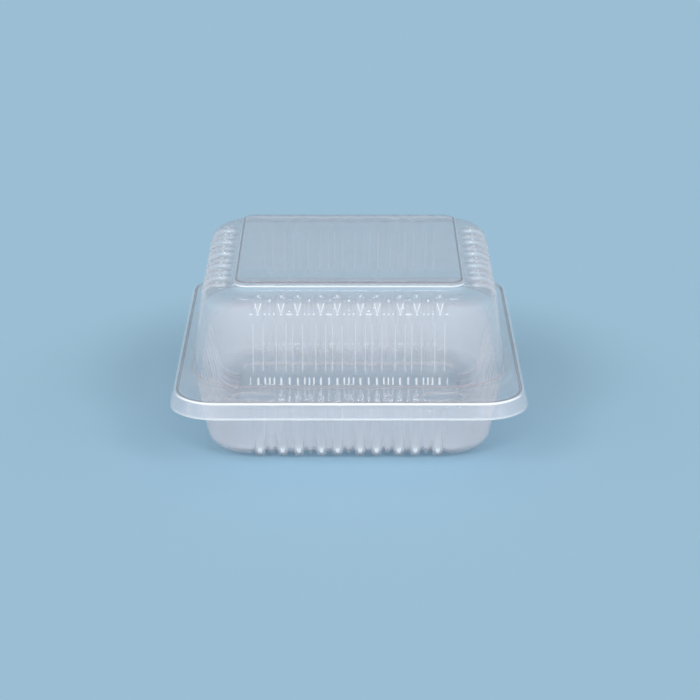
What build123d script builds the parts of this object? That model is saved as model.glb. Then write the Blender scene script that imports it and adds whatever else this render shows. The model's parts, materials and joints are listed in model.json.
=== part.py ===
from build123d import *
import math
import os

# Hinged clamshell food pack, thermoformed from one clear sheet and shown closed.
# The pack stands on z = 0, its front is at -Y and its hinge line at +Y.
# The origin is under the middle of the whole pack. All lengths are in millimetres.

# Sheet and running clearances
sheet = 0.4
rim_gap = 0.3
lock_gap = 0.2

# Tub mouth, the same for the base and the lid because the two meet there
mouth_width = 133.0
mouth_corner = 24.0

# Base tub
base_depth = 35.5
base_floor_width = 119.0
base_edge = 9.0
base_panel_lift = 2.5

# Lid tub
lid_rise = 36.0
lid_top_width = 123.0
lid_edge = 6.0
lid_panel_rise = 4.3

# Square panel in the middle of the floor and of the top
panel_width = 99.0
panel_corner = 6.0
panel_draft = 12.0

# Ribbed zone on each side: pairs of round-shouldered ribs on a sunken web, from a sill above the flange
rib_groups = 5
rib_pitch = 16.5
rib_spread = 9.6
rib_width = 4.2
rib_proud = 0.8
rib_flute = 0.2
rib_round_cut = 0.8
web_drop = 1.0
web_recess = 0.6
zone_sill = 4.5
rib_foot = 6.5

# Flange round the mouth and the skirt that hangs from it on three sides
flange_side = 6.7
flange_front = 18.0
flange_back = 8.8
flange_corner = 18.0
skirt_height = 6.5
skirt_flare = 1.8

# Two snap locks on the front flange
lock_length = 19.5
lock_width = 8.8
lock_shoulder = 11.0
lock_depth = 3.0
lock_draft = 12.0
lock_spacing = 78.6
lock_setback = 7.6

# How many flat facets stand for each round edge
base_edge_facets = 2
lid_edge_facets = 1
knuckle_facets = 1

# How far a construction reaches past the surface that trims it
reach = 5.0

# Derived heights and places
flange_z = base_depth + rib_proud
tub_y = (flange_front + skirt_flare - flange_back) / 2
hinge_y = tub_y + mouth_width / 2 + flange_back
front_y = tub_y - mouth_width / 2 - flange_front
zone_length = rib_groups * rib_pitch
flange_half_x = mouth_width / 2 + flange_side
lock_y = front_y + lock_setback
skirt_angle = math.degrees(math.atan2(skirt_flare, skirt_height))

# How far in, under the square panel, the webs and ribs of the four sides reach
core_x = panel_width / 4

# Where the skirt stops, at the start of the back corners
skirt_end_y = hinge_y - flange_corner

# How far the inner face of a skirt lies inside its outer face, measured level with the flange's inner face
skirt_inset = sheet / math.cos(math.radians(skirt_angle)) - sheet * math.tan(math.radians(skirt_angle))


def half_width(z, depth, far_width, skin):
    """Half width of a tub at a height above the flange, inside a skin of sheet."""
    lean = (mouth_width - far_width) / 2 / depth
    return mouth_width / 2 - lean * z - skin * math.hypot(1, lean)


def eased_corner(corner_x, corner_z, depth, far_width, edge, facets):
    """Section points that turn a wall into the flat far side by facets touching a round edge."""
    lean = math.atan2((mouth_width - far_width) / 2, depth)
    turn = (math.pi / 2 - lean) / (facets + 1)
    facet = 2 * edge * math.tan(turn / 2)
    setback = edge * math.tan((math.pi / 2 - lean) / 2) - facet / 2
    points = [(corner_x + setback * math.sin(lean), corner_z - setback * math.cos(lean))]
    for step in range(1, facets + 1):
        x, z = points[-1]
        angle = lean + step * turn
        points.append((x - facet * math.sin(angle), z + facet * math.cos(angle)))
    return points


def plain_tub(skin, depth, far_width, edge, facets):
    """Smooth drafted tub above z = 0 with rounded upright corners and an eased far edge."""
    low_x = half_width(0, depth, far_width, skin)
    low_z = 0
    far_z = depth - skin
    far_x = half_width(far_z, depth, far_width, skin)
    with BuildSketch() as mouth:
        RectangleRounded(2 * low_x, 2 * low_x, mouth_corner + low_x - mouth_width / 2)
    top = mouth.sketch.face()
    with BuildPart() as tub:
        for x, z in eased_corner(far_x, far_z, depth, far_width, edge - skin, facets):
            extrude(top, amount=z - low_z, taper=math.degrees(math.atan2(low_x - x, z - low_z)))
            top = tub.faces().sort_by(Axis.Z)[-1]
            low_x, low_z = x, z
    return tub.part


def web(skin, depth, far_width, edge):
    """Sunken strip of one side: flat shoulder, sloping facet and wall."""
    root_z = zone_sill / 2
    knee_z = depth - edge
    shoulder_x = half_width(depth, depth, far_width, 0) - edge
    with BuildSketch(Plane.XZ) as section:
        with BuildLine():
            Polyline((core_x, root_z),
                     (half_width(root_z, depth, far_width, 0) - web_recess, root_z),
                     (half_width(knee_z, depth, far_width, 0) - web_recess, knee_z),
                     (shoulder_x, depth - web_drop),
                     (core_x, depth - web_drop),
                     close=True)
        make_face()
        offset(amount=-skin, kind=Kind.INTERSECTION, mode=Mode.REPLACE)
    return extrude(section.sketch, amount=zone_length / 2 + skin, both=True)


def rib(skin, depth, far_width, edge):
    """One rib of a side: along the shoulder, round the edge and fading out down the wall."""
    far_z = depth + rib_proud
    far_x = half_width(far_z, depth, far_width, 0) + rib_flute
    foot_x = half_width(rib_foot, depth, far_width, 0) - web_recess
    knuckle = eased_corner(far_x, far_z, depth, far_width, edge - rib_round_cut, knuckle_facets)
    knuckle_x, knuckle_z = knuckle[0]
    root_z = zone_sill / 2
    root_x = foot_x + (foot_x - knuckle_x) * (rib_foot - root_z) / (knuckle_z - rib_foot)
    with BuildSketch(Plane.XZ) as section:
        with BuildLine():
            Polyline((core_x, root_z), (root_x, root_z), *knuckle, (core_x, far_z), close=True)
        make_face()
        offset(amount=-skin, kind=Kind.INTERSECTION, mode=Mode.REPLACE)
    return extrude(section.sketch, amount=rib_width / 2 - skin, both=True)


def rib_places():
    """Distances of the ribs from the middle of a side, in pairs."""
    places = []
    for group in range(rib_groups):
        middle = (group - (rib_groups - 1) / 2) * rib_pitch
        places += [middle - rib_spread / 2, middle + rib_spread / 2]
    return places


def ribbed_tub(skin, depth, far_width, edge, facets):
    """Tub above z = 0 with a ribbed zone on each of its four sides."""
    body = plain_tub(skin, depth, far_width, edge, facets)
    web_strip = web(skin, depth, far_width, edge)
    one_rib = rib(skin, depth, far_width, edge)
    with BuildPart() as zone:
        add(web_strip)
        with Locations(*[(0, place, 0) for place in rib_places()]):
            add(one_rib)
    with BuildPart() as tub:
        add(body)
        with PolarLocations(0, 4):
            with Locations((panel_width / 2 - reach, 0, zone_sill - skin)):
                Box(mouth_width, zone_length + 2 * skin, depth,
                    align=(Align.MIN, Align.CENTER, Align.MIN), mode=Mode.SUBTRACT)
        with PolarLocations(0, 4):
            add(zone.part)
    return tub.part


def panel_boss(skin):
    """Raised square panel of the lid, from inside the tub up to its top face."""
    root_z = lid_rise - reach
    height = reach + lid_panel_rise - skin
    side = panel_width + 2 * reach * math.tan(math.radians(panel_draft)) - 2 * skin
    with BuildPart() as boss:
        with BuildSketch(Plane.XY.offset(root_z)):
            RectangleRounded(side, side, panel_corner - skin)
        extrude(amount=height, taper=panel_draft)
    return boss.part


def panel_sink(skin):
    """Hollow under the base floor that lifts its square panel off the table."""
    floor_z = base_depth - base_panel_lift - skin
    with BuildPart() as sink:
        with BuildSketch(Plane.XY.offset(floor_z)):
            side = panel_width + 2 * skin
            RectangleRounded(side, side, panel_corner + skin)
        extrude(amount=base_panel_lift + rib_proud + skin + reach)
    return sink.part


def lid_form(skin):
    """Lid tub with its raised panel, above z = 0."""
    tub = ribbed_tub(skin, lid_rise, lid_top_width, lid_edge, lid_edge_facets)
    boss = panel_boss(skin)
    with BuildPart() as form:
        add(tub)
        add(boss)
    return form.part


def base_form(skin):
    """Base tub with its lifted panel, above z = 0, so that its floor is uppermost."""
    tub = ribbed_tub(skin, base_depth, base_floor_width, base_edge, base_edge_facets)
    sink = panel_sink(skin)
    with BuildPart() as form:
        add(tub)
        add(sink, mode=Mode.SUBTRACT)
    return form.part


def flange_plan(grow):
    """Outline of the flange, grown at the sides and the front and kept at the hinge line."""
    width = 2 * (flange_half_x + grow)
    length = hinge_y - front_y + grow
    with BuildSketch() as plan:
        with Locations((0, hinge_y - length / 2)):
            RectangleRounded(width, length, flange_corner + grow)
    return plan.sketch


def rim_cup(grow, top_z, height):
    """Flange and skirt as one filled block: flat top and flared sides, cut off where the skirt stops."""
    plan = flange_plan(grow)
    with BuildPart() as cup:
        with BuildSketch(Plane.XY.offset(top_z)):
            add(plan)
        extrude(amount=-height, taper=-skirt_angle)
        split(bisect_by=Plane.XZ.offset(-skirt_end_y), keep=Keep.TOP)
    return cup.part


def back_plate(grow, bottom_z):
    """Flat flange behind the skirt, up to the hinge line."""
    plan = flange_plan(grow)
    with BuildPart() as plate:
        with BuildSketch(Plane.XY.offset(bottom_z)):
            add(plan)
        extrude(amount=sheet)
        split(bisect_by=Plane.XZ.offset(-skirt_end_y), keep=Keep.BOTTOM)
    return plate.part


def lock_blocks(grow, top_z, bottom_z):
    """Two drafted lozenges on the front flange, from top_z down to bottom_z."""
    half_l, half_s, half_w = lock_length / 2, lock_shoulder / 2, lock_width / 2
    with BuildPart() as blocks:
        with BuildSketch(Plane.XY.offset(top_z)):
            with Locations((-lock_spacing / 2, lock_y), (lock_spacing / 2, lock_y)):
                Polygon((half_l, 0), (half_s, half_w), (-half_s, half_w),
                        (-half_l, 0), (-half_s, -half_w), (half_s, -half_w))
            offset(amount=grow, kind=Kind.INTERSECTION)
        extrude(amount=bottom_z - top_z, taper=lock_draft)
    return blocks.part


# Lid
lid_top_z = flange_z + sheet
lid_place = Location((0, tub_y, flange_z))
lid_rim = rim_cup(0, lid_top_z, skirt_height + sheet)
lid_rim_inner = rim_cup(-skirt_inset, flange_z, skirt_height + reach)
lid_back = back_plate(0, flange_z)
lid_locks = lock_blocks(sheet, lid_top_z, flange_z - lock_depth)
lid_lock_hollows = lock_blocks(0, lid_top_z, flange_z - lock_depth + sheet)
lid_outer = lid_form(0)
lid_inner = lid_form(sheet)

with BuildPart() as lid:
    add(lid_rim)
    add(lid_rim_inner, mode=Mode.SUBTRACT)
    add(lid_back)
    add(lid_locks)
    with Locations(lid_place):
        add(lid_outer)
        add(lid_inner, mode=Mode.SUBTRACT)
    add(lid_lock_hollows, mode=Mode.SUBTRACT)
lid.part.label = "lid"

# Base tray, whose rim fits inside the lid's
base_grow = -skirt_inset - rim_gap
base_top_z = flange_z - sheet
base_place = Location((0, tub_y, flange_z), (180, 0, 0))
base_rim = rim_cup(base_grow, flange_z, skirt_height)
base_rim_inner = rim_cup(base_grow - skirt_inset, base_top_z, skirt_height + reach)
base_back = back_plate(base_grow, base_top_z)
base_locks = lock_blocks(2 * sheet + lock_gap, flange_z, flange_z - lock_depth - lock_gap - sheet)
base_lock_hollows = lock_blocks(sheet + lock_gap, flange_z, flange_z - lock_depth - lock_gap)
base_outer = base_form(0)
base_inner = base_form(sheet)

with BuildPart() as base_tray:
    add(base_rim)
    add(base_rim_inner, mode=Mode.SUBTRACT)
    add(base_back)
    add(base_locks)
    with Locations(base_place):
        add(base_outer)
        add(base_inner, mode=Mode.SUBTRACT)
    add(base_lock_hollows, mode=Mode.SUBTRACT)
base_tray.part.label = "base_tray"

os.makedirs("parts", exist_ok=True)
export_step(lid.part, "parts/lid.step")
export_step(base_tray.part, "parts/base_tray.step")
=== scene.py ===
import json
import math

import bmesh
import bpy
import numpy as np
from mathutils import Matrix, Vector
from mathutils.geometry import tessellate_polygon


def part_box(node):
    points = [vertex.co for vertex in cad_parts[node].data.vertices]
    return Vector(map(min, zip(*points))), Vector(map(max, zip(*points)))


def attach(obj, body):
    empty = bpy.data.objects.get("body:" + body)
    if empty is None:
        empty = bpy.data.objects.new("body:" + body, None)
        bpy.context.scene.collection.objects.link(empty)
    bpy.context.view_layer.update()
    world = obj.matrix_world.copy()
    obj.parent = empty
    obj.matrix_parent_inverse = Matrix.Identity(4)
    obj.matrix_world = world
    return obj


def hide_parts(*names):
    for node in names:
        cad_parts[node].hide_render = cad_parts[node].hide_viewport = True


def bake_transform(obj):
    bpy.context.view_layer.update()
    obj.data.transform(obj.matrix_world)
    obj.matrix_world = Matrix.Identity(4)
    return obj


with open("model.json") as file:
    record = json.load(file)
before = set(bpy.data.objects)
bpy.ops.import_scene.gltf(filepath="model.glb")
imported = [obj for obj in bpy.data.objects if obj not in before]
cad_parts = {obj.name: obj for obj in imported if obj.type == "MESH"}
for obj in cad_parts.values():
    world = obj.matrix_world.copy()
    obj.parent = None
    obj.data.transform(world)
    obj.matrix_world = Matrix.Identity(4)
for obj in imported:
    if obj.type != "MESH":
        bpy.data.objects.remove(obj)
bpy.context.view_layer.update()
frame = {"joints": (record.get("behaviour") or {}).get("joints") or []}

# A closed clamshell pack of clear thermoformed sheet: two thin shells and the living hinge between them.
# Lengths are in millimetres until a mesh is made, and a mesh is in metres.
MM = 0.001

# Places taken from the frame
lid_low, lid_high = (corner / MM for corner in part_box("lid"))
tray_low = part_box("base_tray")[0] / MM
hinge = Vector(frame["joints"][0]["pos_m"]) / MM
flange_z = hinge.z
skirt_low_z = lid_low.z

# Sheet, and the gap between the skirts of the lid and of the tray
sheet = 0.4
rim_gap = 0.3

# Tub: every level of it is the core square grown outwards, so its corners are concentric. A half is a half
# width. The core is drawn in steps of along_step on its sides and in corner_steps round each corner.
mouth_half = 66.5
mouth_round = 2.0
core_half = 42.5
along_step = 0.5
corner_steps = 14

# Square panel in the middle of the lid's top and of the tray's floor. Its section starts panel_run inside
# its edge, and the tray's is wider at its foot by panel_ease.
panel_half = 49.5
panel_draft = math.radians(12)
panel_ease = 0.3
panel_run = 4.0

# Lid tub: its half width at the shoulder, the round of its edge, and its raised panel
lid_far_half = 61.5
lid_edge = 6.0
lid_panel_rise = 4.3
lid_panel_round = 2.2

# Tray tub: its half width at the floor, the round of its edge, and its panel that is lifted off the table
tray_far_half = 59.5
tray_edge = 9.0
tray_panel_lift = 2.5
tray_panel_round = 0.8

# Ribbed zone of a side: pairs of ribs on a sunken web, a small rib in each pair and a strip between pairs.
# At its foot a rib has only rib_foot_share of its height. On the shoulder it stands rib_proud over the tub.
rib_groups = 5
rib_pitch = 16.5
rib_spread = 9.6
rib_half = 2.1
rib_flank = 0.8
rib_foot = 6.5
rib_proud = 0.8
rib_foot_share = 0.3
small_half = 1.1
strip_half = 1.3
web_drop = 1.0
web_recess = 0.6

# Flange, skirt and locks. The flat strip beside the tub and beside the skirt is flange_ring wide.
# A lock is a long hexagon, and the tray's is larger than the lid's by lock_room and deeper by lock_gap.
flange_half = 73.2
flange_front = 18.0
flange_back = 8.8
flange_corner = 18.0
flange_ring = 3.0
skirt_lean = math.atan2(1.8, 6.5)
skirt_bend = 1.5
skirt_fade = 15.0
lock_x = 39.3
lock_setback = 7.6
lock_length = 19.5
lock_width = 8.8
lock_shoulder = 11.0
lock_depth = 3.0
lock_draft = math.radians(12)
lock_corner = 1.2
lock_bend = 0.5
lock_ring = 0.8
lock_floor = 3.0
# Width of the painted shade line round each lock's rim
lock_shade_line = 0.6
lock_gap = 0.2
lock_room = 0.9

# Film of the living hinge, a half round between the two flanges that ends film_clear before the corners
film_reach = 0.6
film_gap = 0.02
film_radius = 0.45
film_rise = 0.9 * sheet
film_thickness = 0.12
film_clear = 1.0

# Painted highlights, by their stations in a tub's section, and the painted highlight at the foot of the ribs
# by its height over the flange
panel_wall = 2.05
shoulder_middle = 4.7
lid_knuckle = 4.88
tray_knuckle = 5.78
small_knuckle = 5.18
arm_middle = 5.70
arm_foot = 5.97
arm_slope = 2.6
knee_line = 5.98
foot_line = 2.8

# Haze of the sheet, from 0 for clear to 1 for solid, and how much it mirrors
flat_haze = 0.07
open_haze = 0.05
wall_haze = 0.075
streak_haze = 0.06
floor_haze = 0.20
cloud_haze = 0.05
upright_loss = 0.03
# Extra haze where the sheet is painted with shade and highlight lines
painted_line_haze = 0.8
mirror_straight = 0.045
mirror_edge_on = 0.55

# Colours
white = (1, 1, 1, 1)
wall_grey = (0.86, 0.83, 0.86, 1)
# Painted shade: the flat faces of the sheet are coloured this darker warm grey, its upright faces a lighter
# grey
flat_face_shade = (0.52, 0.41, 0.40, 1)
bend_shadow = (0.05, 0.07, 0.10, 1)
pale_blue = (0.328, 0.515, 0.658, 1)

# Floor and lamps, in metres
floor_half = 8
pack_middle = Vector((0, 0, 0.04))
lamp_distance = 3

zone_half = rib_groups * rib_pitch / 2
lid_depth = lid_high.z - flange_z - lid_panel_rise
tray_depth = flange_z - tray_low.z - rib_proud
tub_y = hinge.y - flange_back - mouth_half
front_y = tub_y - mouth_half - flange_front
skirt_inset = sheet / math.cos(skirt_lean) - sheet * math.tan(skirt_lean)


def smoothstep(low, high, value):
    share = np.clip((value - low) / (high - low), 0, 1)
    return share * share * (3 - 2 * share)


# Sections

def section(corners, radii, arc_steps, leg_steps):
    """Rounds a line of corners. Gives its points, their outward normals and their stations.
    A station counts legs and arcs from the start: the first leg runs from 0 to 1, the first arc from 1 to 2,
    the second leg from 2 to 3 and so on."""
    corners = [np.array(corner, float) for corner in corners]
    points, stations = [], []
    last = corners[0]

    def leg(start, end, steps, station, with_end):
        for step in range(steps + (1 if with_end else 0)):
            points.append(start + (end - start) * step / steps)
            stations.append(station + step / steps)

    for index in range(1, len(corners) - 1):
        corner = corners[index]
        back = corners[index - 1] - corner
        ahead = corners[index + 1] - corner
        back /= np.linalg.norm(back)
        ahead /= np.linalg.norm(ahead)
        half_angle = math.acos(float(np.clip(back @ ahead, -1, 1))) / 2
        radius = radii[index - 1]
        reach = radius / math.tan(half_angle)
        middle = back + ahead
        centre = corner + middle / np.linalg.norm(middle) * radius / math.sin(half_angle)
        arc_start, arc_end = corner + back * reach, corner + ahead * reach
        leg(last, arc_start, leg_steps[index - 1], 2 * index - 2, False)
        sweep = math.pi - 2 * half_angle
        for step in range(arc_steps[index - 1]):
            share = step / arc_steps[index - 1]
            from_start = (arc_start - centre) * math.sin((1 - share) * sweep)
            from_end = (arc_end - centre) * math.sin(share * sweep)
            points.append(centre + (from_start + from_end) / math.sin(sweep))
            stations.append(2 * index - 1 + share)
        last = arc_end
    leg(last, corners[-1], leg_steps[-1], 2 * len(corners) - 4, True)
    points = np.array(points)
    along = np.gradient(points, axis=0)
    normals = np.stack([-along[:, 1], along[:, 0]], axis=1)
    normals /= np.linalg.norm(normals, axis=1)[:, None]
    return points, normals, np.array(stations)


def by_station(stations, stops):
    """A value that goes straight from stop to stop along a section."""
    return np.interp(stations, list(stops), list(stops.values()))


def tub_section(depth, far_half, edge, panel_step, panel_round):
    """Section of a side from the panel out to the flange, with how far its ribbed zone moves each point.
    Stations 1 to 4 are the panel's edge, wall and foot, 4 to 5 the shoulder, 5 to 6 its edge, 6 to 7 the wall
    and 7 to 8 the mouth. The web sinks the zone. On it stand the flutes of the ribs, their knuckles, the
    small rib between two and the strip between pairs. At bends a value paints a shade line where it is above 0
    and a highlight line where it is below 0."""
    lean = (mouth_half - far_half) / depth
    raised = panel_step > 0
    panel_edge = panel_half - panel_step * math.tan(panel_draft) if raised else panel_half
    panel_foot = panel_half if raised else panel_half + panel_ease
    corners = [
        (panel_edge - panel_run, depth + panel_step),
        (panel_edge, depth + panel_step),
        (panel_foot, depth),
        (far_half, depth),
        (mouth_half - lean * sheet, sheet),
        (mouth_half + flange_ring, sheet),
    ]
    points, normals, stations = section(corners, [panel_round, panel_round * 0.8, edge, mouth_round],
                                        arc_steps=[6, 5, 12, 5], leg_steps=[2, 3, 5, 18, 1])
    normals = -normals if normals[0, 1] < 0 else normals
    height = points[:, 1]
    knee = depth - edge
    on_wall = stations > 6
    lift = normals.copy()
    lift[stations < 5] = (0, 1)

    web = by_station(stations, {3.7: 0, 4.4: web_drop, 5: web_drop, 5.5: 1.25, 6: web_recess})
    web *= np.where(on_wall, np.clip(height / knee, 0, 1), 1)
    shoulder_rib = web_drop + rib_proud
    flute = by_station(stations, {3.7: 0, 4.4: shoulder_rib, 5: shoulder_rib, 5.5: 2.0, 6: 1.0})
    up_the_wall = np.clip((height - rib_foot) / (knee - rib_foot), 0, 1)
    flute *= np.where(on_wall, rib_foot_share + (1 - rib_foot_share) * up_the_wall, 1)
    flute *= by_station(stations, {7: 1, 8: 0})
    knuckle = by_station(stations, {3.7: 0, 4.4: 1.9, 5: 1.95, 5.5: 2.3, 6: 1.3, 6.2: 0})
    small = by_station(stations, {4.2: 0, 4.9: 0.7, 5.5: 1, 6: 0.5, 6.15: 0})
    strip = by_station(stations, {3.9: 0, 4.6: 0.5, 5.5: 0.7, 6.1: 0.5, 6.3: 0})

    # Nothing stands further out than the ribs of the part
    room = np.where(stations > 4, (depth + rib_proud - height) / np.maximum(lift[:, 1], 0.05), math.inf)
    flute = np.minimum(flute, web + room)
    knuckle = np.minimum(knuckle, web + room)
    # Painted shade lines along the lid panel's edge, the panel's foot and the mouth
    line = 1 if raised else 0
    crease = by_station(stations, {1: 0, 1.3: line, 1.6: 0, 3.2: 0, 3.5: 0.3, 3.8: 0,
                                   7.3: 0, 7.6: 0.7, 7.9: 0})
    return points, {"lift": lift, "web": web, "flute": flute, "knuckle": knuckle,
                    "knuckle_half": by_station(stations, {5.2: rib_half, 6: 0.4}),
                    "small": small, "strip": strip, "crease": crease, "station": stations}


# Loops round the pack, seen from above

def core_loop():
    """Points of the core square, the outward direction at each, and how far it is from its side's middle."""
    steps = round(2 * core_half / along_step)
    centres, outward, along = [], [], []
    for turn in range(4):
        angle = turn * math.pi / 2
        side = np.array([math.cos(angle), math.sin(angle)])
        run = np.array([-side[1], side[0]])
        for step in range(steps + 1):
            offset = -core_half + 2 * core_half * step / steps
            centres.append(side * core_half + run * offset)
            outward.append(side)
            along.append(abs(offset))
        for step in range(1, corner_steps):
            bend = angle + math.pi / 2 * step / corner_steps
            centres.append((side + run) * core_half)
            outward.append(np.array([math.cos(bend), math.sin(bend)]))
            along.append(core_half)
    return np.array(centres), np.array(outward), np.array(along)


def flange_loop(grow, back_y):
    """Outline of the flange with the outward direction and how much of the skirt each point carries.
    The back corners have more points, because the skirt fades out there."""
    half = flange_half + grow
    radius = flange_corner + grow
    front = front_y - grow
    back_steps, front_steps = 28, 16
    right, left = half - radius, radius - half
    corners = [(right, back_y - radius, 0, back_steps), (left, back_y - radius, 90, back_steps),
               (left, front + radius, 180, front_steps), (right, front + radius, 270, front_steps)]
    points, outward = [], []
    for x, y, start, steps in corners:
        for step in range(steps + 1):
            angle = math.radians(start + 90 * step / steps)
            direction = np.array([math.cos(angle), math.sin(angle)])
            points.append(np.array([x, y]) + radius * direction)
            outward.append(direction)
    points, outward = np.array(points), np.array(outward)
    fade_start = hinge.y - flange_corner
    share = 1 - smoothstep(fade_start, fade_start + skirt_fade, points[:, 1])
    return points, outward, share


def lozenge(middle, grow):
    """Outline of one lock: a long hexagon with eased corners, grown by an amount."""
    half_l, half_s, half_w = lock_length / 2, lock_shoulder / 2, lock_width / 2
    tips = [np.array(tip) for tip in ((half_l, 0.0), (half_s, half_w), (-half_s, half_w),
                                      (-half_l, 0.0), (-half_s, -half_w), (half_s, -half_w))]
    steps = 5
    points = []
    for index, tip in enumerate(tips):
        before = tips[index - 1] - tip
        after = tips[(index + 1) % 6] - tip
        before /= np.linalg.norm(before)
        after /= np.linalg.norm(after)
        half_angle = math.acos(float(before @ after)) / 2
        middle_way = (before + after) / np.linalg.norm(before + after)
        centre = tip + middle_way * lock_corner / math.sin(half_angle)
        start = math.atan2(*(tip + before * lock_corner / math.tan(half_angle) - centre)[::-1])
        sweep = math.pi - 2 * half_angle
        for step in range(steps + 1):
            angle = start + sweep * step / steps
            points.append(centre + (lock_corner + grow) * np.array([math.cos(angle), math.sin(angle)]))
    return np.array(points) + middle


# Shells

class Sheet:
    """Collects the points, faces and attributes of one open surface of sheet, all in millimetres."""

    def __init__(self):
        self.points = []
        self.faces = []
        self.fields = {}

    def add_row(self, row_points, **fields):
        """Adds a row of points and gives their numbers."""
        first = len(self.points)
        self.points.extend(row_points)
        for name, values in fields.items():
            self.fields.setdefault(name, {}).update(enumerate(values, first))
        return list(range(first, len(self.points)))

    def join(self, inner, outer):
        """Joins two closed rows. Where they share a point the face is a triangle."""
        for here in range(len(inner)):
            there = (here + 1) % len(inner)
            corner = []
            for point in (inner[here], inner[there], outer[there], outer[here]):
                if point not in corner:
                    corner.append(point)
            if len(corner) > 2:
                self.faces.append(corner)

    def fill(self, outline, holes):
        """Fills a flat outline with holes in it."""
        rows = [outline] + holes
        flat = [point for row in rows for point in row]
        shapes = [[Vector((*self.points[point][:2], 0)) for point in row] for row in rows]
        self.faces.extend([flat[corner] for corner in face] for face in tessellate_polygon(shapes))

    def mesh(self, name, facing):
        """Makes the mesh in metres, attributes too, with its flange facing up (1) or down (-1)."""
        mesh = bpy.data.meshes.new(name)
        points = [tuple(float(value) * MM for value in point) for point in self.points]
        mesh.from_pydata(points, [], self.faces)
        work = bmesh.new()
        work.from_mesh(mesh)
        bmesh.ops.recalc_face_normals(work, faces=work.faces)
        flat = max(work.faces, key=lambda face: abs(face.normal.z) * face.calc_area())
        if flat.normal.z * facing < 0:
            bmesh.ops.reverse_faces(work, faces=work.faces)
        work.to_mesh(mesh)
        work.free()
        for field, values in self.fields.items():
            kind = "FLOAT_VECTOR" if field == "lift" else "FLOAT"
            width = 3 if field == "lift" else 1
            data = np.zeros((len(self.points), width), np.float32)
            for point, value in values.items():
                data[point] = value
            attribute = mesh.attributes.new(field, kind, "POINT")
            attribute.data.foreach_set("vector" if width == 3 else "value", data.ravel() * MM)
        mesh.shade_smooth()
        return mesh


def add_tub(surface, side, tub):
    """Adds a tub from the middle of its panel outwards and gives its last row, on the flat flange."""
    points, moves = tub_section(**tub)
    centres, outward, along = core_loop()
    lift = moves.pop("lift")

    def tub_row(index, scale=1.0):
        at, height = points[index]
        flat = (centres + outward * (at - core_half)) * scale + np.array([0, tub_y])
        level = np.full(len(flat), flange_z + side * height)
        way = np.column_stack([outward * lift[index, 0], np.full(len(flat), side * lift[index, 1])])
        fields = {field: np.full(len(flat), values[index]) for field, values in moves.items()}
        return surface.add_row(np.column_stack([flat, level]), lift=way, along=along, **fields)

    centre = surface.add_row([(0, tub_y, flange_z + side * points[0, 1])])[0]
    rows = [tub_row(0, scale) for scale in (0.3, 0.6, 0.9)]
    for here, there in zip(rows[0], rows[0][1:] + rows[0][:1]):
        surface.faces.append([centre, here, there])
    rows += [tub_row(index) for index in range(len(points) - 1)]
    for inner, outer in zip(rows, rows[1:]):
        surface.join(inner, outer)
    return rows[-1]


def add_skirt(surface, flat_z, grow, bend):
    """Adds the rim of the flange with its skirt, which fades out at the back corners. Gives its first row."""
    edge, away, share = flange_loop(grow, hinge.y - film_reach)
    drop = flat_z - skirt_low_z
    corners = [(-flange_ring, 0), (0, 0), (drop * math.tan(skirt_lean), -drop)]
    points, _, stations = section(corners, [bend], arc_steps=[8], leg_steps=[3, 8])
    # Painted shade line where the flange meets the bend, and painted highlight lines on the bend and along the
    # skirt's lower edge
    creases = by_station(stations, {0.7: 0, 1: 1, 1.2: 0, 1.5: -0.8, 1.8: -0.8, 2: 0, 2.9: 0, 3: -0.8})
    rows = []
    for (out, down), crease in zip(points, creases):
        flat = edge + away * (out * share)[:, None]
        level = flat_z + down * share
        row = surface.add_row(np.column_stack([flat, level]), crease=np.full(len(flat), crease))
        if rows:
            row = [there if amount > 0 else here for here, there, amount in zip(rows[-1], row, share)]
            surface.join(rows[-1], row)
        rows.append(row)
    return rows[0]


def add_locks(surface, flat_z, depth, grow):
    """Adds the two locks that are pressed into the front flange and gives the first row of each."""
    lean = depth * math.tan(lock_draft)
    corners = [(lock_ring, 0), (0, 0), (-lean, -depth), (-lock_floor, -depth)]
    points, _, _ = section(corners, [lock_bend, lock_bend], arc_steps=[3, 3], leg_steps=[1, 2, 1])
    first_rows = []
    for x in (-lock_x, lock_x):
        rows = []
        for out, down in points[:-1]:
            flat = lozenge(np.array([x, front_y + lock_setback]), grow + out)
            # A painted shade line runs round the rim of each lock
            crease = 0.5 if 0 < out < lock_shade_line else 0.0
            level = np.full(len(flat), flat_z + down)
            rows.append(surface.add_row(np.column_stack([flat, level]), crease=np.full(len(flat), crease)))
        for outer, inner in zip(rows, rows[1:]):
            surface.join(outer, inner)
        surface.faces.append(rows[-1])
        first_rows.append(rows[0])
    return first_rows


def put(name, data):
    """Puts a mesh, lamp or camera into the scene."""
    piece = bpy.data.objects.new(name, data)
    bpy.context.scene.collection.objects.link(piece)
    return piece


def shell(name, side, tub, rim, locks):
    """One thin shell: ribbed tub, flange, skirt and locks. side is 1 for the lid and -1 for the tray."""
    surface = Sheet()
    flat_z = flange_z + side * sheet
    mouth = add_tub(surface, side, tub)
    rim_row = add_skirt(surface, flat_z, **rim)
    lock_rows = add_locks(surface, flat_z, **locks)
    surface.fill(rim_row, [mouth] + lock_rows)
    return put(name, surface.mesh(name, side))


# Nodes

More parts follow.
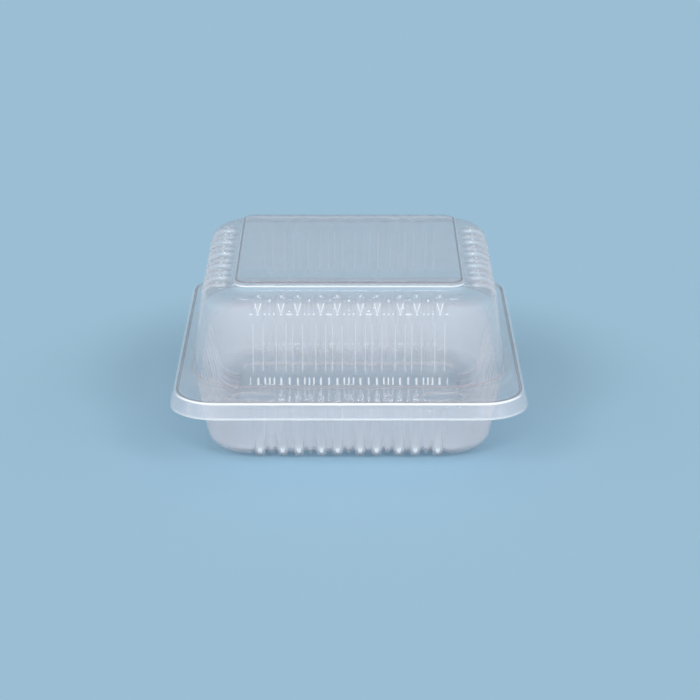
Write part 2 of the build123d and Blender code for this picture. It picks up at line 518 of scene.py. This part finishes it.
class Wire:
    """A node's output for use in Python sums. Each sum adds its Math node, and | gives the greater of two."""

    def __init__(self, tree, socket):
        self.tree = tree
        self.socket = socket

    def math(self, operation, *others):
        return math_node(self.tree, operation, self, *others)

    def __add__(self, other):
        return self.math("ADD", other)

    def __mul__(self, other):
        return self.math("MULTIPLY", other)

    def __or__(self, other):
        return self.math("MAXIMUM", other)

    def __sub__(self, other):
        return self.math("SUBTRACT", other)

    def __rsub__(self, other):
        return math_node(self.tree, "SUBTRACT", other, self)

    def __truediv__(self, other):
        return self.math("DIVIDE", other)

    def __rtruediv__(self, other):
        return math_node(self.tree, "DIVIDE", other, self)

    def __pow__(self, other):
        return self.math("POWER", other)

    def __rpow__(self, other):
        return math_node(self.tree, "POWER", other, self)

    def __abs__(self):
        return self.math("ABSOLUTE")

    def part(self, axis):
        return add_node(self.tree, "ShaderNodeSeparateXYZ", {}, {"Vector": self}, output=axis)

    __radd__ = __add__
    __rmul__ = __mul__
    __ror__ = __or__


def add_node(tree, kind, settings=None, inputs=None, output=0):
    """Adds a node, sets it, and gives one of its outputs, if it has any. An input is a value or a Wire."""
    node = tree.nodes.new(kind)
    for name, value in (settings or {}).items():
        setattr(node, name, value)
    for name, value in (inputs or {}).items():
        if isinstance(value, Wire):
            tree.links.new(value.socket, node.inputs[name])
        else:
            node.inputs[name].default_value = value
    return Wire(tree, node.outputs[output]) if node.outputs else node


def math_node(tree, operation, *values):
    return add_node(tree, "ShaderNodeMath", {"operation": operation}, dict(enumerate(values)))


def ramp(value, low, high, start=0.0, end=1.0):
    """A smooth step from start to end while value goes from low to high."""
    return add_node(value.tree, "ShaderNodeMapRange", {"interpolation_type": "SMOOTHSTEP"},
                    {"Value": value, "From Min": low, "From Max": high, "To Min": start, "To Max": end})


def band(value, centre, half, soft):
    """1 where value is within half of centre and 0 elsewhere, with a soft edge."""
    return ramp(abs(value - centre) - half, -soft / 2, soft / 2, 1.0, 0.0)


def mixed_colour(factor, start, end):
    return add_node(factor.tree, "ShaderNodeMix", {"data_type": "RGBA"},
                    {"Factor": factor, "A": start, "B": end}, output=2)


def mixed_shader(factor, start, end):
    return add_node(factor.tree, "ShaderNodeMixShader", {}, {0: factor, 1: start, 2: end})


def empty_tree(owner):
    """The node tree of a material or a world, cleared."""
    owner.use_nodes = True
    owner.node_tree.nodes.clear()
    return owner.node_tree


def rib_distances(along, pitch, spread):
    """Distances from the middle of a pair of ribs, from the nearest rib and from the gap between pairs."""
    cell = (along / pitch + 0.5).math("FRACT")
    from_middle = abs(cell - 0.5) * pitch
    return from_middle, abs(from_middle - spread / 2), pitch / 2 - from_middle


# Ribs

rib_sizes = {"pitch": rib_pitch, "spread": rib_spread, "rib half": rib_half, "flank": rib_flank,
             "zone half": zone_half, "small half": small_half, "strip half": strip_half}


def rib_tree():
    """Geometry nodes that press the ribbed zones into a smooth tub, from its attributes and a few sizes."""
    tree = bpy.data.node_groups.new("pressed_ribs", "GeometryNodeTree")
    tree.interface.new_socket("Geometry", in_out="INPUT", socket_type="NodeSocketGeometry")
    for name in rib_sizes:
        tree.interface.new_socket(name, in_out="INPUT", socket_type="NodeSocketFloat")
    tree.interface.new_socket("material", in_out="INPUT", socket_type="NodeSocketMaterial")
    tree.interface.new_socket("Geometry", in_out="OUTPUT", socket_type="NodeSocketGeometry")
    entry = tree.nodes.new("NodeGroupInput")
    given = {socket.name: Wire(tree, socket) for socket in entry.outputs if socket.name}
    flank = given["flank"]

    def attribute(name, kind="FLOAT"):
        return add_node(tree, "GeometryNodeInputNamedAttribute", {"data_type": kind}, {"Name": name})

    def ridge(distance, half):
        return ramp(distance, half - flank / 2, half + flank / 2, 1.0, 0.0)

    def dome(distance, half):
        return ramp(distance, half * 0.25, half + flank / 2, 1.0, 0.0)

    along = attribute("along")
    from_middle, from_rib, from_gap = rib_distances(along, given["pitch"], given["spread"])
    raised = (attribute("flute") * ridge(from_rib, given["rib half"])
              | attribute("knuckle") * dome(from_rib, attribute("knuckle_half"))
              | attribute("small") * dome(from_middle, given["small half"])
              | attribute("strip") * ridge(from_gap, given["strip half"]))
    amount = (raised - attribute("web")) * ridge(along, given["zone half"])
    offset = add_node(tree, "ShaderNodeVectorMath", {"operation": "SCALE"},
                      {0: attribute("lift", "FLOAT_VECTOR"), "Scale": amount / MM})
    moved = add_node(tree, "GeometryNodeSetPosition", {}, {"Geometry": given["Geometry"], "Offset": offset})
    whole = add_node(tree, "GeometryNodeRealizeInstances", {}, {"Geometry": moved})
    dressed = add_node(tree, "GeometryNodeSetMaterial", {},
                       {"Geometry": whole, "Material": given["material"]})
    add_node(tree, "NodeGroupOutput", {}, {"Geometry": dressed})
    return tree


def thicken(piece, thickness, even):
    """Gives a piece its thickness, inwards, and leaves a plain mesh."""
    wall = piece.modifiers.new("wall", "SOLIDIFY")
    wall.thickness = thickness * MM
    wall.offset = -1
    wall.use_even_offset = even
    bpy.context.view_layer.update()
    seen = piece.evaluated_get(bpy.context.evaluated_depsgraph_get())
    mesh = bpy.data.meshes.new_from_object(seen)
    piece.modifiers.clear()
    piece.data = mesh


def finish_shell(piece, tree, material):
    """Presses the ribs into a shell and gives it its thickness."""
    piece.data.materials.append(material)
    ribs = piece.modifiers.new("ribs", "NODES")
    ribs.node_group = tree
    values = {name: size * MM for name, size in rib_sizes.items()}
    values["material"] = material
    for item in tree.interface.items_tree:
        if item.in_out == "INPUT" and item.name in values:
            ribs[item.identifier] = values[item.name]
    thicken(piece, sheet, even=True)
    for used in ("lift", "web", "flute", "knuckle", "knuckle_half", "small", "strip"):
        piece.data.attributes.remove(piece.data.attributes[used])
    piece.data.shade_smooth()
    piece.data.set_sharp_from_angle(angle=math.radians(50))


def hinge_strip(material):
    """The living hinge: a thin half-round film that joins the two flanges at the back."""
    straight = (flange_half - flange_corner - film_clear) * MM
    steps = 12
    points = []
    for step in range(steps + 1):
        angle = math.pi * (step / steps - 0.5)
        y = hinge.y - film_reach + film_gap + film_radius * math.cos(angle)
        z = flange_z + film_rise * math.sin(angle)
        points += [(-straight, y * MM, z * MM), (straight, y * MM, z * MM)]
    faces = [[first, first + 1, first + 3, first + 2] for first in range(0, 2 * steps, 2)]
    mesh = bpy.data.meshes.new("hinge_strip")
    mesh.from_pydata(points, [], faces)
    mesh.materials.append(material)
    mesh.shade_smooth()
    strip = put("hinge_strip", mesh)
    thicken(strip, film_thickness, even=False)
    return strip


# Materials

def read(tree, name):
    """One of the sheet's attributes in a material, brought back from the scale of the mesh."""
    return add_node(tree, "ShaderNodeAttribute", {"attribute_name": name}, output="Fac") / MM


def painted_highlights(x, y, z, along, station, facing_front):
    """Painted highlights: how brightly each bend and rib of the sheet is painted, from 0 up."""
    from_middle, from_rib, from_gap = rib_distances(along, rib_pitch, rib_spread)
    above = z - flange_z
    in_tray = ramp(above, -1.0, 0.0, 1.0, 0.0)
    in_lid = 1 - in_tray
    at_front = ramp(y, 30, 50, 1.0, 0.0)
    at_side = ramp(abs(x), 44, 50)

    # Painted highlights on the edge of the front: a dot on each knuckle, a small one between two, and the arms
    # of a V below them
    knuckle = in_tray * (tray_knuckle - lid_knuckle) + lid_knuckle
    dots = band(station, knuckle, 0.11, 0.12) * band(from_rib, 0, in_tray * 0.3 + 0.6, 0.6)
    dots = dots * (1 - at_side * 0.4)
    small_dots = band(station, small_knuckle, 0.08, 0.1) * band(from_middle, 0, 0.45, 0.4)
    from_arm = from_rib - (arm_foot - station) * arm_slope
    arms = band(station, arm_middle, 0.24, 0.1) * band(from_arm, 0, 0.22, 0.3) * in_lid

    # Painted highlights as broken lines at the top and at the foot of the ribs on the wall
    marks = band(from_rib, 0, 0.45, 0.4) | band(from_middle, 0, 0.35, 0.4)
    marks = marks | band(from_middle, 1.9, 0.35, 0.4)
    knee = band(station, knee_line, 0.03, 0.03) * (marks | band(from_gap, 0, strip_half, 0.5))
    knee = knee * abs(at_front - in_tray)
    foot = band(abs(above), foot_line, 1.5, 0.8) * ramp(station, 6.3, 6.5)
    foot = foot * (marks | band(from_gap, 0, 0.4, 0.4)) * (1 - in_tray * 0.6)

    # Painted highlight lines down the flanks of the ribs on the walls, and along them on the shoulder at the
    # lid's sides
    flanks = ramp(station, 6.02, 6.15) * ramp(abs(above), 3.5, 8.0) * band(from_rib, rib_half, 0.25, 0.4)
    tops = band(station, shoulder_middle, 0.4, 0.3) * band(from_rib, rib_half, 0.10, 0.25)
    tops = tops * at_side * in_lid

    # The painted dots, arms and foot marks are on the front only
    highlight_marks = (dots | small_dots * 0.6 | arms * 0.5 | foot * 0.5) * at_front
    highlight_marks = highlight_marks | knee * 0.65 | flanks * (0.36 - in_tray * 0.16) | tops * 0.35
    highlight_marks = highlight_marks * band(along, 0, zone_half, 0.3) * ramp(station, 4.0, 4.2)
    # A painted highlight line along the lid panel's wall, on the faces turned to the front and the back
    panel_line = band(station, panel_wall, 0.14, 0.15) * facing_front * in_lid
    return highlight_marks | panel_line


def clear_sheet():
    """Clear drawn sheet: a faint grey haze with streaks, a mirror gloss, painted highlights and painted shade
    lines at bends and ribs, flat faces painted a darker grey than upright ones, and a skirt made more solid
    towards its corners as a painted reflection.
    """
    material = bpy.data.materials.new("clear_sheet")
    tree = empty_tree(material)
    place = add_node(tree, "ShaderNodeTexCoord", output="Object")
    normal = add_node(tree, "ShaderNodeTexCoord", output="Normal")
    edge_on = add_node(tree, "ShaderNodeLayerWeight", {}, {"Blend": 0.5}, output="Facing")
    x, y, z = (place.part(axis) / MM for axis in "XYZ")
    along, station, crease = (read(tree, name) for name in ("along", "station", "crease"))

    upright = ramp(abs(normal.part("Z")), 0.3, 0.9, 1.0, 0.0)
    facing_front = ramp(abs(normal.part("Y")), 0.2, 0.5)
    off_rim = ramp(abs(z - flange_z), 3, 12, 0.2, 1.0)
    on_tub = off_rim * ramp(station, 3.5, 4.5)
    # Painted reflection: the skirt is made more solid towards its sides and corners than along the middle of
    # its front
    painted_skirt_reflection = ramp(station, 0.0, 0.5, 1.0, 0.0) * ramp(abs(x), 48, 62, 0.2, 1.25)
    near_floor = ramp(z, flange_z * 0.7, flange_z * 0.85, 1.0, 0.0)
    # Painted shade lines at bends
    painted_bend_shade = (crease | 0.0) ** 2.5
    # Painted highlights, with the bend lines below 0 also painted bright, more on faces turned to the front
    # and the back
    painted_highlight = painted_highlights(x, y, z, along, station, facing_front)
    painted_highlight = painted_highlight | crease * -0.8 * (facing_front * 0.7 + 0.3)

    drawn = add_node(tree, "ShaderNodeMapping", {}, {"Vector": place, "Scale": (1, 1, 0.06)})
    streaks = add_node(tree, "ShaderNodeTexNoise", {}, {"Vector": drawn, "Scale": 200, "Detail": 1})
    clouds = add_node(tree, "ShaderNodeTexNoise", {}, {"Vector": place, "Scale": 28, "Detail": 2})
    streaks = ramp(streaks, 0.45, 0.75) * ramp(along, zone_half - 4, zone_half, 1.0, 0.2)
    walls = near_floor * floor_haze + (streaks * streak_haze + wall_haze) * (on_tub | painted_skirt_reflection)
    haze = flat_haze + off_rim * open_haze + upright * (walls - upright_loss) + (clouds - 0.5) * cloud_haze
    # The painted shade and highlight lines make the sheet more solid
    haze = haze + painted_bend_shade * painted_line_haze | painted_highlight * painted_line_haze

    # Painted shade: flat faces away from the rim are coloured a darker warm grey than upright faces, and
    # partly lighter near the rim
    shade = mixed_colour(upright | (1 - off_rim) * 0.6, flat_face_shade, wall_grey)
    # Painted shade lines darken the colour
    shade = mixed_colour(painted_bend_shade, shade, bend_shadow)
    # Painted highlights turn the colour white
    shade = mixed_colour(ramp(painted_highlight, 0.0, 0.2), shade, white)
    front = add_node(tree, "ShaderNodeBsdfPrincipled", {}, {
        "Base Color": shade, "Roughness": 0.5, "Specular IOR Level": 0.0})
    through = add_node(tree, "ShaderNodeBsdfTranslucent", {}, {"Color": wall_grey})
    see_through = add_node(tree, "ShaderNodeBsdfTransparent", {}, {"Color": white})
    gloss = add_node(tree, "ShaderNodeBsdfGlossy", {}, {"Color": white, "Roughness": 0.05})
    body = mixed_shader((1 - painted_bend_shade) * (upright * 0.3 + 0.1), front, through)
    inside = mixed_shader(haze, see_through, body)
    surface = mixed_shader(mirror_straight + (edge_on ** 5) * mirror_edge_on, inside, gloss)
    add_node(tree, "ShaderNodeOutputMaterial", {}, {"Surface": surface})
    return material


def floor_paint():
    """Plain pale floor that takes the pack's shadow near it and is even further out."""
    material = bpy.data.materials.new("floor_paint")
    tree = empty_tree(material)
    place = add_node(tree, "ShaderNodeTexCoord", output="Object")
    distance = add_node(tree, "ShaderNodeVectorMath", {"operation": "LENGTH"}, {0: place}, output="Value")
    lit = add_node(tree, "ShaderNodeBsdfDiffuse", {}, {"Color": pale_blue})
    even = add_node(tree, "ShaderNodeEmission", {}, {"Color": pale_blue, "Strength": 1.0})
    surface = mixed_shader(ramp(distance, 0.10, 0.19), lit, even)
    add_node(tree, "ShaderNodeOutputMaterial", {}, {"Surface": surface})
    return material


# Pieces

clear = clear_sheet()
tree = rib_tree()
lid_shell = shell(
    "lid_shell", 1,
    tub={"depth": lid_depth, "far_half": lid_far_half, "edge": lid_edge,
         "panel_step": lid_panel_rise, "panel_round": lid_panel_round},
    rim={"grow": 0.0, "bend": skirt_bend},
    locks={"depth": lock_depth, "grow": 0.0})
tray_shell = shell(
    "tray_shell", -1,
    tub={"depth": tray_depth, "far_half": tray_far_half, "edge": tray_edge,
         "panel_step": -tray_panel_lift, "panel_round": tray_panel_round},
    rim={"grow": -2 * skirt_inset - rim_gap, "bend": skirt_bend - sheet},
    locks={"depth": lock_depth + lock_gap, "grow": lock_room})
for piece, body, node in ((lid_shell, "cover", "lid"), (tray_shell, "base", "base_tray")):
    finish_shell(piece, tree, clear)
    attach(piece, body)
    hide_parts(node)

film = hinge_strip(clear)
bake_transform(film)


# Stage

floor_mesh = bpy.data.meshes.new("floor")
floor_corners = [(x * floor_half, y * floor_half, 0) for x, y in ((-1, -1), (1, -1), (1, 1), (-1, 1))]
floor_mesh.from_pydata(floor_corners, [], [[0, 1, 2, 3]])
floor_mesh.materials.append(floor_paint())
floor = put("floor", floor_mesh)


def studio():
    """Grey walls, brightest in front, a darker band above them and a lit ceiling, behind a plain backdrop."""
    front_light, back_light, dim_share, ceiling_light = 0.8, 0.45, 0.12, 0.7
    world = bpy.data.worlds.new("studio")
    tree = empty_tree(world)
    camera_ray, glossy_ray, through_ray = (add_node(tree, "ShaderNodeLightPath", output=f"Is {kind} Ray")
                                           for kind in ("Camera", "Glossy", "Transmission"))
    way = add_node(tree, "ShaderNodeTexCoord", output="Generated")
    walls = ramp(way.part("Y"), 0.2, 0.85, front_light, back_light)
    ceiling = ramp(way.part("Z"), 0.80, 0.92, 0.0, ceiling_light)
    strength = walls * ramp(way.part("Z"), 0.42, 0.50, 1.0, dim_share) + ceiling
    room = add_node(tree, "ShaderNodeBackground", {}, {"Color": white, "Strength": strength})
    backdrop = add_node(tree, "ShaderNodeBackground", {}, {"Color": pale_blue, "Strength": 1.0})
    sky = mixed_shader(camera_ray | glossy_ray | through_ray, room, backdrop)
    add_node(tree, "ShaderNodeOutputWorld", {}, {"Surface": sky})
    return world


bpy.context.scene.world = studio()


def lamp_panel(name, turn, climb, width, height, brightness):
    """A rectangular lamp that faces the pack, at a turn from the front and a climb, both in degrees."""
    turn, climb = math.radians(turn), math.radians(climb)
    away = Vector((math.sin(turn) * math.cos(climb), -math.cos(turn) * math.cos(climb), math.sin(climb)))
    lamp = bpy.data.lights.new(name, "AREA")
    lamp.shape = "RECTANGLE"
    lamp.size = width
    lamp.size_y = height
    lamp.energy = brightness * math.pi * width * height
    box = put(name, lamp)
    box.location = pack_middle + away * lamp_distance
    box.rotation_euler = away.to_track_quat("Z", "Y").to_euler()
    box.visible_camera = False
    return box


def softbox(name, turn, climb, width, height, brightness):
    """A lamp for the even light and the shadows, which isn't mirrored."""
    lamp_panel(name, turn, climb, width, height, brightness).visible_glossy = False


def glint(name, turn, climb, width, height, brightness):
    """A lamp that is only mirrored in the gloss."""
    lamp_panel(name, turn, climb, width, height, brightness).visible_diffuse = False


softbox("left_box", -35, 36, 1.0, 1.0, 12.3)
softbox("right_box", 35, 36, 1.0, 1.0, 12.3)
softbox("front_box", 0, 9, 1.6, 0.5, 14)
glint("front_glint", 0, 38, 0.5, 0.2, 6)
glint("back_glint", 180, 37, 0.6, 0.18, 6)
glint("left_glint", -80, 20, 0.15, 1.2, 1.5)
glint("right_glint", 80, 20, 0.15, 1.2, 1.5)

# Camera at the photograph's place. Its lens is given in the picture's pixels.
view_pitch = math.atan2(0.3551, 0.9348)
lens_pixels = 2200
picture_pixels = 700
camera_data = bpy.data.cameras.new("camera")
camera_data.sensor_width = 36
camera_data.lens = lens_pixels / picture_pixels * camera_data.sensor_width
camera = put("camera", camera_data)
camera.location = (0.00045, -0.9144, 0.3773)
camera.rotation_euler = (math.pi / 2 - view_pitch, 0, 0)
bpy.context.scene.camera = camera

bpy.context.scene.view_settings.view_transform = "Standard"
bpy.context.scene.cycles.transparent_max_bounces = 32
